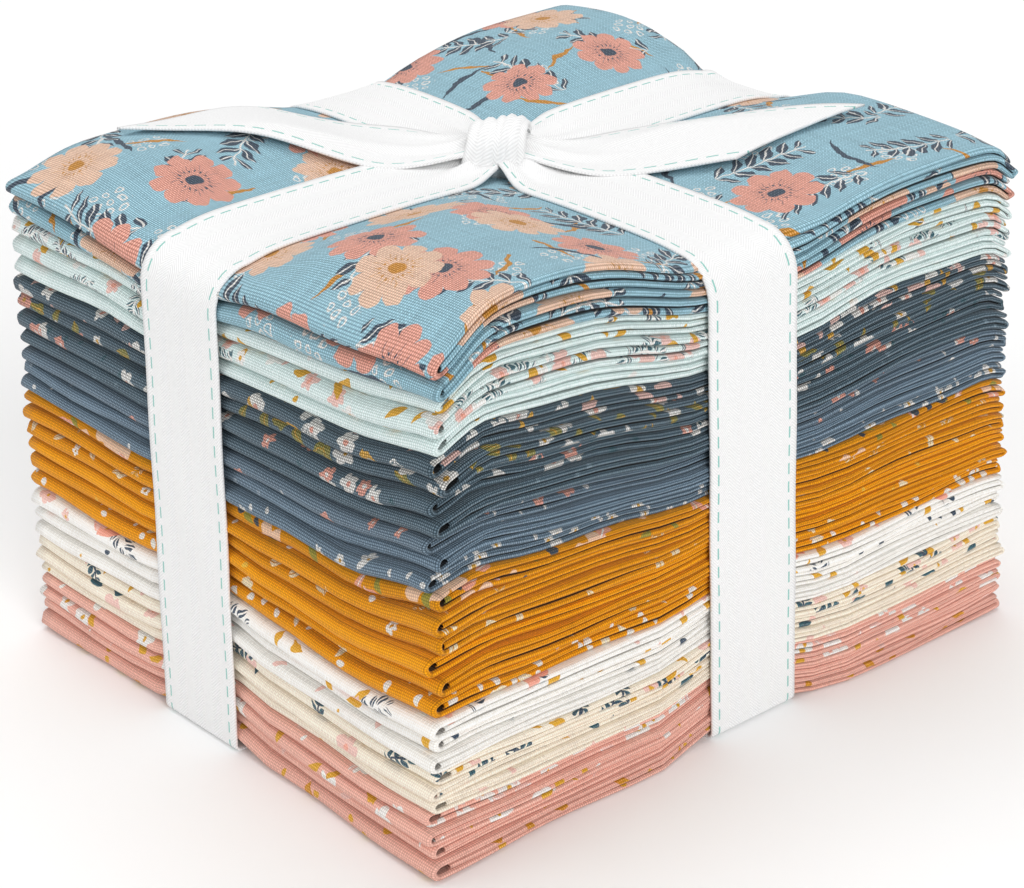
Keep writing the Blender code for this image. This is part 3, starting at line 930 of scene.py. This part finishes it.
def clusters(graph, u, v, spacing, size, seed, share):
    """Clusters of small rings on a square lattice, inside a round patch: their mask."""
    x, y, chance_a, chance_b = cells(graph, u, v, spacing, seed, 0.6)
    x, y = turned(graph, x, y, chance_a * TURN)
    reach = graph.below(graph.length(x, y), size / 2, 0.02 * MM)
    pitch = RING_PITCH
    near_x = (graph.call("fract", x / pitch + 50.5) - 0.5) * pitch
    near_y = (graph.call("fract", y / pitch + 50.5) - 0.5) * pitch
    radius = graph.length(near_x, near_y)
    ring = graph.below(abs(radius - RING_RADIUS), RING_HALF, 0.08 * MM)
    return (ring * reach * graph.chosen(chance_b, share),)


WHITE = (0.97, 0.96, 0.94)
NAVY = (0.19, 0.27, 0.35)
TEAL = (0.20, 0.38, 0.43)
CORAL = (0.95, 0.66, 0.58)
PEACH = (0.98, 0.81, 0.70)
MUSTARD = (0.83, 0.56, 0.10)
GOLD = (0.88, 0.66, 0.16)
OLIVE = (0.60, 0.57, 0.24)
BLUSH = (0.95, 0.78, 0.74)
CREAM = (0.97, 0.91, 0.78)

# Each print is the family its ground is dyed in, how light that ground is, and its layers of
# motifs, the lowest first. A layer is the motif, how far apart its places lie, its size, the
# share of places used, its colour, and the colour of its middle or vein if it has one. Lengths
# are in millimetres.
PRINTS = {
    "blue_floral": ("blue", 1.0, (
        (clusters, 21, 10.5, 0.6, WHITE), (strokes, 19, 16, 0.5, MUSTARD),
        (strokes, 23, 20, 0.4, NAVY), (sprigs, 27, 25, 0.75, NAVY, WHITE),
        (daisies, 32, 23, 0.7, CORAL, NAVY), (daisies, 37, 24, 0.7, PEACH, MUSTARD))),
    "mint_gold": ("mint", 1.0, (
        (leaves, 7, 6, 0.55, GOLD, GOLD), (blossoms, 11, 5, 0.4, WHITE, BLUSH),
        (sprigs, 17, 12, 0.35, NAVY, WHITE))),
    "mint_sprig": ("mint", 0.99, (
        (sprigs, 14, 12, 0.55, TEAL, WHITE), (blossoms, 10, 6, 0.5, BLUSH, CORAL),
        (leaves, 7, 5, 0.35, GOLD, GOLD), (blossoms, 12, 6, 0.5, WHITE, GOLD))),
    "mint_plain": ("mint", 1.01, ((dots, 9, 1.3, 0.15, GOLD), (leaves, 9, 4, 0.3, WHITE, WHITE))),
    "navy_floral": ("navy", 0.97, (
        (blossoms, 10, 7, 0.6, WHITE, CORAL), (leaves, 8, 6, 0.4, BLUSH, BLUSH),
        (leaves, 8, 5, 0.4, GOLD, GOLD), (sprigs, 15, 10, 0.4, TEAL, WHITE))),
    "navy_olive": ("navy", 1.0, (
        (leaves, 6, 6, 0.6, OLIVE, GOLD), (blossoms, 9, 5.5, 0.4, WHITE, GOLD),
        (blossoms, 11, 6, 0.35, CORAL, GOLD))),
    "navy_pink": ("navy", 1.03, (
        (blossoms, 9, 5.5, 0.5, WHITE, CORAL), (blossoms, 11, 5, 0.4, CORAL, WHITE),
        (dots, 6, 1.4, 0.5, TEAL))),
    "navy_plain": ("navy", 1.05, ((dots, 8, 1.1, 0.3, (0.5, 0.6, 0.66)),)),
    "slate_pink": ("slate", 0.93, (
        (blossoms, 8, 3.8, 0.4, CORAL, WHITE), (dots, 7, 1.2, 0.3, WHITE))),
    "slate_plain": ("slate", 1.03, ((dots, 8, 1.1, 0.3, (0.66, 0.73, 0.79)),)),
    "slate_white": ("slate", 0.98, (
        (blossoms, 7, 4, 0.5, WHITE, GOLD), (dots, 5, 1.1, 0.3, WHITE))),
    "rust_floral": ("orange", 0.93, (
        (blossoms, 15, 13, 0.6, PEACH, NAVY), (leaves, 9, 7, 0.3, CORAL, WHITE),
        (dots, 6, 2.0, 0.15, NAVY), (leaves, 9, 5, 0.3, OLIVE, OLIVE))),
    "mustard_lines": ("orange", 0.98, (
        (sprigs, 12, 9, 0.55, CREAM, MUSTARD), (dots, 6, 1.5, 0.3, WHITE))),
    "mustard_cream": ("orange", 0.97, (
        (leaves, 7, 5, 0.45, CREAM, MUSTARD), (blossoms, 9, 4, 0.3, WHITE, MUSTARD))),
    "gold_plain": ("orange", 1.06, ((dots, 9, 1.2, 0.3, (0.97, 0.78, 0.3)),)),
    "mustard_plain": ("orange", 1.0, (
        (dots, 9, 1.1, 0.2, (0.95, 0.75, 0.3)), (blossoms, 11, 4, 0.25, CREAM, CREAM))),
    "mustard_dots": ("orange", 1.02, (
        (dots, 5, 1.8, 0.5, WHITE), (leaves, 8, 4.5, 0.35, CREAM, WHITE))),
    "cream_floral": ("cream", 1.0, (
        (sprigs, 17, 14, 0.3, NAVY, WHITE), (blossoms, 13, 9, 0.22, CORAL, GOLD),
        (leaves, 8, 5, 0.2, GOLD, GOLD), (blossoms, 11, 5, 0.3, BLUSH, GOLD))),
    "cream_gold": ("cream", 0.985, ((leaves, 7, 5, 0.25, GOLD, GOLD), (dots, 8, 1.6, 0.12, NAVY))),
    "cream_plain": ("cream", 0.975, (
        (dots, 9, 1.3, 0.2, GOLD), (leaves, 10, 4, 0.2, BLUSH, BLUSH))),
    "beige_leaf": ("beige", 1.0, (
        (sprigs, 14, 11, 0.5, TEAL, NAVY), (leaves, 8, 5, 0.4, GOLD, GOLD),
        (blossoms, 11, 5, 0.3, BLUSH, GOLD))),
    "beige_blush": ("beige", 0.99, (
        (blossoms, 11, 7, 0.5, BLUSH, CORAL), (leaves, 10, 5, 0.2, TEAL, NAVY),
        (leaves, 9, 4, 0.2, GOLD, GOLD))),
    "beige_plain": ("beige", 0.98, (
        (dots, 9, 1.3, 0.2, GOLD), (leaves, 10, 4, 0.25, BLUSH, BLUSH))),
    "rose_white": ("rose", 1.0, (
        (blossoms, 9, 6.5, 0.55, WHITE, GOLD), (dots, 7, 1.8, 0.3, WHITE),
        (leaves, 8, 5, 0.4, BLUSH, WHITE))),
    "rose_white_gold": ("rose", 0.98, (
        (blossoms, 9, 6.5, 0.5, WHITE, GOLD), (leaves, 7, 5, 0.4, GOLD, GOLD))),
    "rose_plain": ("rose", 1.0, ((dots, 9, 1.2, 0.2, WHITE), (leaves, 9, 4, 0.3, BLUSH, BLUSH))),
    "rose_gold_dots": ("rose", 0.96, (
        (dots, 6, 2.2, 0.4, GOLD), (leaves, 9, 5, 0.35, MUSTARD, GOLD))),
}

THREAD_PITCH = 0.57 * MM
BUMP_DEPTH = 0.15 * MM


def weave(graph, u, v, pitch):
    """Plain weave: its height, from 0 in the gaps to 1 on the threads, and each thread's shade.

    The height is the sine of the warp times the sine of the weft. The shades are noises that are
    stretched along the threads, taken from the warp and the weft by turns.
    """
    warp, weft = u / pitch, v / pitch
    column, row = graph.call("floor", warp), graph.call("floor", weft)
    over = graph.call("modulo", abs(column + row), 2.0)
    warp_round = abs(graph.call("sine", warp * math.pi))
    weft_round = abs(graph.call("sine", weft * math.pi))
    height = warp_round * weft_round * (0.8 + 0.2 * over)
    warp_shade = graph.noise(graph.vector(column * 0.731, weft * 0.05), 1.0, 0.0)
    weft_shade = graph.noise(graph.vector(warp * 0.05, row * 0.731), 1.0, 0.0)
    return height, warp_shade * over + weft_shade * (1.0 - over)


def finish_shader(graph, colour, height, bump, roughness, sheen):
    """Join a colour and a bump height to the material's shader."""
    node = graph.node("ShaderNodeBump", {
        "Strength": bump, "Distance": BUMP_DEPTH, "Height": height})
    shader = graph.tree.nodes["Principled BSDF"]
    for name, value in (
            ("Base Color", colour), ("Roughness", roughness), ("Specular IOR Level", 0.25),
            ("Sheen Weight", sheen), ("Sheen Roughness", 0.5),
            ("Normal", Term(graph, node.outputs[0]))):
        graph.feed(shader.inputs[name], value)


def new_material(name):
    """A new material with nodes, and its graph."""
    made = bpy.data.materials.new(name)
    made.use_nodes = True
    return made, Graph(made.node_tree)


# How far the print wavers, how light the tops of the threads are painted, how much threads differ,
# how strongly the tops get a painted highlight in a pale fibre colour, and how dark the painted
# shade in the creases is on the dark and on the pale families.
PRINT_WAVER = 2.2 * MM
THREAD_TOP_PAINTED_LIGHT = 1.28
THREAD_SHADE = 0.34
PAINTED_HIGHLIGHT_STRENGTH = 0.22
CREASE_SHADE = 0.92
PALE_CREASE_SHADE = 0.4416
DARK_FAMILIES = ("navy", "slate", "orange", "blue")
PALE_HIGHLIGHT_COLOUR = (0.92, 0.94, 0.95)

# For each family of grounds, how dark the painted shade in the gaps of its weave is, and the pale
# fibre colour of the painted highlight on its thread tops.
WEAVES = {
    "blue": (0.44, PALE_HIGHLIGHT_COLOUR), "mint": (0.66, PALE_HIGHLIGHT_COLOUR), "navy": (0.22, PALE_HIGHLIGHT_COLOUR),
    "slate": (0.28, PALE_HIGHLIGHT_COLOUR), "orange": (0.60, (1.0, 0.80, 0.15)),
    "cream": (0.92, (1.0, 0.99, 0.97)), "beige": (0.86, (1.0, 0.97, 0.92)),
    "rose": (0.72, (1.0, 0.90, 0.87)),
}


def cotton_finish(number, name):
    """Printed quilting cotton: a ground, its motifs, and the plain weave over both.

    The print wavers by a slow noise. The gaps of the weave get painted shade, darker than the
    ground, and the tops of the threads painted light; each thread has its own tone, and the tops
    get a painted highlight in a pale fibre colour, which fades in the creases. Painted shade
    darkens the creases by its square.
    """
    settings = bpy.context.scene.bundle_cloth
    made, graph = new_material(f"cotton_{number:02d}")
    family, light, layers = PRINTS[name]
    ground = [min(value * light, 1.0) for value in getattr(settings, family)]
    u, v = graph.uv("cloth")
    height, shade = weave(graph, u, v, THREAD_PITCH)
    waver_u, waver_v = graph.parts(graph.noise(graph.vector(u, v), 260.0, 1.0, 1))
    u, v = u + (waver_u - 0.5) * PRINT_WAVER, v + (waver_v - 0.5) * PRINT_WAVER
    colour = graph.mix(0.0, ground, ground)
    for seed, (motif, spacing, size, share, *fills) in enumerate(layers, start=number * 3 + 1):
        masks = motif(graph, u, v, spacing * MM, size * MM, seed, share)
        for mask, fill in zip(masks, fills):
            colour = graph.mix(mask, colour, fill)
    painted_gap_shade, highlight_colour = WEAVES[family]
    # Painted shade in the weave's gaps and painted light on the thread tops, times each thread's
    # own tone.
    uneven = painted_gap_shade + (THREAD_TOP_PAINTED_LIGHT - painted_gap_shade) * height + THREAD_SHADE * (shade - 0.5)
    # Painted shade in the creases: darkens the colour by the square of the fold map's value, more
    # on the dark families.
    painted_crease_shade = graph.uv("fold")[0]
    depth = CREASE_SHADE if family in DARK_FAMILIES else PALE_CREASE_SHADE
    uneven = uneven * (1.0 - painted_crease_shade * painted_crease_shade * depth)
    # Painted highlight on the thread tops, in the family's pale colour, less where the creases are
    # shaded.
    thread_top_highlight = height * height * PAINTED_HIGHLIGHT_STRENGTH * (1.0 - painted_crease_shade)
    colour = graph.mix(thread_top_highlight, graph.shaded(colour, uneven), highlight_colour)
    finish_shader(graph, colour, height, 0.6, 0.9, 0.1)
    return made


TWILL_PITCH = 0.80 * MM
CHEVRON = 3.4 * MM
STITCH_INSET = 2.3 * MM
STITCH_HALF = 0.22 * MM
STITCH_PITCH = 4.7 * MM
STITCH_SHARE = 0.6


def twill_finish():
    """Herringbone twill tape, with a dashed line of running stitch inside each edge.

    The ribs are a sine of the length plus a zigzag of the width, and the grooves between them get
    painted shade; a slub noise varies the tone.
    """
    settings = bpy.context.scene.bundle_tape
    made, graph = new_material("twill_tape")
    u, v = graph.uv("cloth")
    zigzag = graph.call("pingpong", u + 0.1, CHEVRON)
    height = 0.5 + 0.5 * graph.call("sine", (v + zigzag) * (TURN / TWILL_PITCH))
    line_at = settings.width / 2 - STITCH_INSET
    line = graph.below(abs(abs(u) - line_at), STITCH_HALF, 0.08 * MM)
    along = graph.call("fract", (v + 1.0) / STITCH_PITCH)
    stitch = line * graph.below(abs(along - 0.5), STITCH_SHARE / 2, 0.02)
    slub = graph.noise(graph.vector(u, v), 900.0, 1.0)
    # Painted shade in the rib grooves, plus a random slub tone.
    shade = 0.98 + slub * 0.06 - (1.0 - height) * 0.15
    tape = graph.shaded(linear(settings.colour), shade)
    colour = graph.mix(stitch, tape, tuple(settings.stitch_colour))
    finish_shader(graph, colour, height + stitch * 1.2, 0.5, 0.8, 0.2)
    return made


def plain_finish(name, colour, roughness):
    """A plain matt finish for the stage, with a very faint mottle."""
    made, graph = new_material(name)
    place = graph.node("ShaderNodeTexCoord").outputs["Object"]
    spot = graph.noise(Term(graph, place), 3.0)
    shader = made.node_tree.nodes["Principled BSDF"]
    graph.feed(shader.inputs["Base Color"], graph.mix(spot, colour, [c * 0.995 for c in colour]))
    shader.inputs["Roughness"].default_value = roughness
    return made


# ---------------------------------------------------------------------------
# Settings, operators and panel
# ---------------------------------------------------------------------------

def colour_property(name, description, default):
    """A colour that a user may change."""
    return bpy.props.FloatVectorProperty(
        name=name, description=description, subtype="COLOR_GAMMA", size=3, default=default)


class BundleClothSettings(bpy.types.PropertyGroup):
    """Sizes of the folded stack and the grounds of its prints."""
    corner_height: bpy.props.FloatProperty(
        name="Corner height", description="Height of the stack at its corners", default=0.1205,
        unit="LENGTH")
    puff: bpy.props.FloatProperty(
        name="Puff", description="How full the cloth stands between the bands, 1 is as tied",
        default=1.0, min=0.0, max=1.5, subtype="FACTOR")
    blue: colour_property("Blue", "Ground of the blue prints", (0.62, 0.80, 0.865))
    mint: colour_property("Mint", "Ground of the mint prints", (0.90, 0.97, 0.96))
    navy: colour_property("Navy", "Ground of the navy prints", (0.33, 0.43, 0.49))
    slate: colour_property("Slate", "Ground of the slate prints", (0.46, 0.56, 0.64))
    orange: colour_property("Orange", "Ground of the orange prints", (0.95, 0.61, 0.0))
    cream: colour_property("Cream", "Ground of the cream prints", (0.99, 0.975, 0.95))
    beige: colour_property("Beige", "Ground of the beige prints", (0.99, 0.935, 0.86))
    rose: colour_property("Rose", "Ground of the rose prints", (0.98, 0.74, 0.67))


class BundleTapeSettings(bpy.types.PropertyGroup):
    """Width and colours of the twill tape."""
    width: bpy.props.FloatProperty(
        name="Width", description="Full width of the tape", default=0.0275, min=0.020, max=0.032,
        unit="LENGTH")
    colour: colour_property("Colour", "Colour of the tape", (0.985, 0.985, 0.985))
    stitch_colour: colour_property(
        "Stitch colour", "Colour of the running stitch", (0.56, 0.80, 0.76))


class BundleStudioSettings(bpy.types.PropertyGroup):
    """Camera and light."""
    azimuth: bpy.props.FloatProperty(
        name="Azimuth", description="Camera direction round the bundle",
        default=math.radians(48.56), subtype="ANGLE", unit="ROTATION")
    elevation: bpy.props.FloatProperty(
        name="Elevation", description="Camera height above the horizon",
        default=math.radians(24.56), subtype="ANGLE", unit="ROTATION")
    roll: bpy.props.FloatProperty(
        name="Roll", description="Camera turn about its own axis",
        default=math.radians(-0.56), subtype="ANGLE", unit="ROTATION")
    distance: bpy.props.FloatProperty(
        name="Distance", description="Camera distance from the middle of the bundle",
        default=0.7333, unit="LENGTH")
    lens: bpy.props.FloatProperty(
        name="Lens", description="Focal length in millimetres", default=105.97)


class BUNDLE_OT_quarters(bpy.types.Operator):
    """Make the 28 folded quarters of printed cotton"""
    bl_idname = "bundle.quarters"
    bl_label = "Folded quarters"

    def execute(self, context):
        for number, (level, spacing) in enumerate(layer_plan(), start=1):
            node = QUARTER_NODES[number - 1]
            fine = number >= len(QUARTERS) - 1
            points, flat, painted_crease_shade = quarter_surface(number, level, spacing, fine)
            piece = surface_object(f"folded_quarter_{number:02d}", points, flat, painted_crease_shade=painted_crease_shade)
            piece.data.materials.append(cotton_finish(number, QUARTERS[number - 1].print))
            give_thickness(piece, CLOTH_THICKNESS)
            under = "floor" if number == 1 else f"folded_quarter_{number - 1:02d}"
            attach(piece, "root")
            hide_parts(node)
        return {"FINISHED"}


class BUNDLE_OT_tape(bpy.types.Operator):
    """Make the twill tape: two bands, the knot and two loose ends"""
    bl_idname = "bundle.tape"
    bl_label = "Twill tape"

    def execute(self, context):
        finish = twill_finish()
        shapes = [
            ("band_long", "ribbon_band_long", band_surface(True), True, "stretched"),
            ("band_cross", "ribbon_band_cross", band_surface(False), True, "stretched"),
            ("knot", "ribbon_knot", knot_surface(), False, "folded"),
        ]
        shapes += [(tail.name, tail.node, tail_surface(tail), False, "laid") for tail in TAILS]
        for name, node, (points, flat), closed, held in shapes:
            piece = surface_object(name, points, flat, closed)
            piece.data.materials.append(finish)
            give_thickness(piece, TAPE_THICKNESS)
            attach(piece, "root")
            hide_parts(node)
        return {"FINISHED"}


SKY_STRENGTH = 0.43
# Each sun's name, the direction it comes from, its soft angle in degrees and its strength.
SUNS = (
    ("overhead", (-0.25, 0.15, 1.0), 50.0, 1.25),
    ("front_left", (-0.45, -1.0, 0.60), 35.0, 0.48),
    ("front_right", (1.0, -0.30, 0.60), 35.0, 1.30),
)


class BUNDLE_OT_stage(bpy.types.Operator):
    """Make the floor, the lights and the camera"""
    bl_idname = "bundle.stage"
    bl_label = "Floor, lights and camera"

    def execute(self, context):
        make_floor()
        make_lights()
        make_camera(context.scene.bundle_studio)
        return {"FINISHED"}


def make_floor():
    """A wide pale disc under the bundle, as a polar grid."""
    radius = np.concatenate([[0.001], np.geomspace(0.1, 6.0, 12)])
    angle = np.linspace(0, TURN, 65)
    r, a = np.meshgrid(radius, angle, indexing="ij")
    points = np.stack([r * np.cos(a), r * np.sin(a), 0 * r], axis=-1)[:, ::-1]
    floor = surface_object("floor", points, points[..., :2])
    floor.data.materials.append(plain_finish("pale_floor", (0.98, 0.98, 0.98), 0.9))


def make_lights():
    """A pale sky and three very soft suns: overhead, from the front left and from the right."""
    bpy.context.scene.view_settings.view_transform = "Standard"
    world = bpy.data.worlds.new("pale_sky")
    bpy.context.scene.world = world
    world.use_nodes = True
    sky = world.node_tree.nodes["Background"]
    sky.inputs["Color"].default_value = (1.0, 1.0, 1.0, 1.0)
    sky.inputs["Strength"].default_value = SKY_STRENGTH
    for name, direction, soft, strength in SUNS:
        light = bpy.data.lights.new(name, "SUN")
        light.angle = math.radians(soft)
        light.energy = strength
        lamp = bpy.data.objects.new(name, light)
        lamp.rotation_euler = (-Vector(direction)).to_track_quat("-Z", "Y").to_euler()
        bpy.context.scene.collection.objects.link(lamp)


SENSOR_WIDTH = 36.0
CAMERA_SHIFT = (-0.00415, -0.0444)
LOOK_HEIGHT = 59.8 * MM


def make_camera(settings):
    """The camera looks at the middle of the bundle from its azimuth and elevation."""
    camera = bpy.data.cameras.new("camera")
    camera.lens = settings.lens
    camera.sensor_width = SENSOR_WIDTH
    camera.shift_x, camera.shift_y = CAMERA_SHIFT
    camera.clip_start = 0.05
    viewer = bpy.data.objects.new("camera", camera)
    azimuth, elevation = settings.azimuth, settings.elevation
    ahead = Vector((-math.sin(azimuth) * math.cos(elevation),
                    math.cos(azimuth) * math.cos(elevation), -math.sin(elevation)))
    right = Vector((math.cos(azimuth), math.sin(azimuth), 0.0))
    upward = right.cross(ahead)
    turned_right = right * math.cos(settings.roll) + upward * math.sin(settings.roll)
    turned_up = upward * math.cos(settings.roll) - right * math.sin(settings.roll)
    target = Vector((0.0, 0.0, LOOK_HEIGHT))
    pose = Matrix((turned_right, turned_up, -ahead)).transposed().to_4x4()
    pose.translation = target - ahead * settings.distance
    viewer.matrix_world = pose
    bpy.context.scene.collection.objects.link(viewer)
    bpy.context.scene.camera = viewer


class BUNDLE_PT_panel(bpy.types.Panel):
    """Sidebar panel that shows the bundle's settings and the buttons that make its pieces"""
    bl_label = "Fat quarter bundle"
    bl_idname = "BUNDLE_PT_panel"
    bl_space_type = "VIEW_3D"
    bl_region_type = "UI"
    bl_category = "Bundle"

    def draw(self, context):
        scene = context.scene
        for settings in (scene.bundle_cloth, scene.bundle_tape, scene.bundle_studio):
            for name in settings.__annotations__:
                self.layout.prop(settings, name)
        for operator in OPERATORS:
            self.layout.operator(operator.bl_idname)


OPERATORS = (BUNDLE_OT_stage, BUNDLE_OT_quarters, BUNDLE_OT_tape)
CLASSES = (
    BundleClothSettings, BundleTapeSettings, BundleStudioSettings, *OPERATORS, BUNDLE_PT_panel)


def register():
    """Register the classes and the scene's settings."""
    for made in CLASSES:
        bpy.utils.register_class(made)
    bpy.types.Scene.bundle_cloth = bpy.props.PointerProperty(type=BundleClothSettings)
    bpy.types.Scene.bundle_tape = bpy.props.PointerProperty(type=BundleTapeSettings)
    bpy.types.Scene.bundle_studio = bpy.props.PointerProperty(type=BundleStudioSettings)


def unregister():
    """Remove the scene's settings and the classes."""
    del bpy.types.Scene.bundle_studio
    del bpy.types.Scene.bundle_tape
    del bpy.types.Scene.bundle_cloth
    for made in reversed(CLASSES):
        bpy.utils.unregister_class(made)


def main():
    """Build the stage and the pieces in order."""
    register()
    bpy.ops.bundle.stage()
    bpy.ops.bundle.quarters()
    bpy.ops.bundle.tape()


if __name__ == "__main__":
    main()
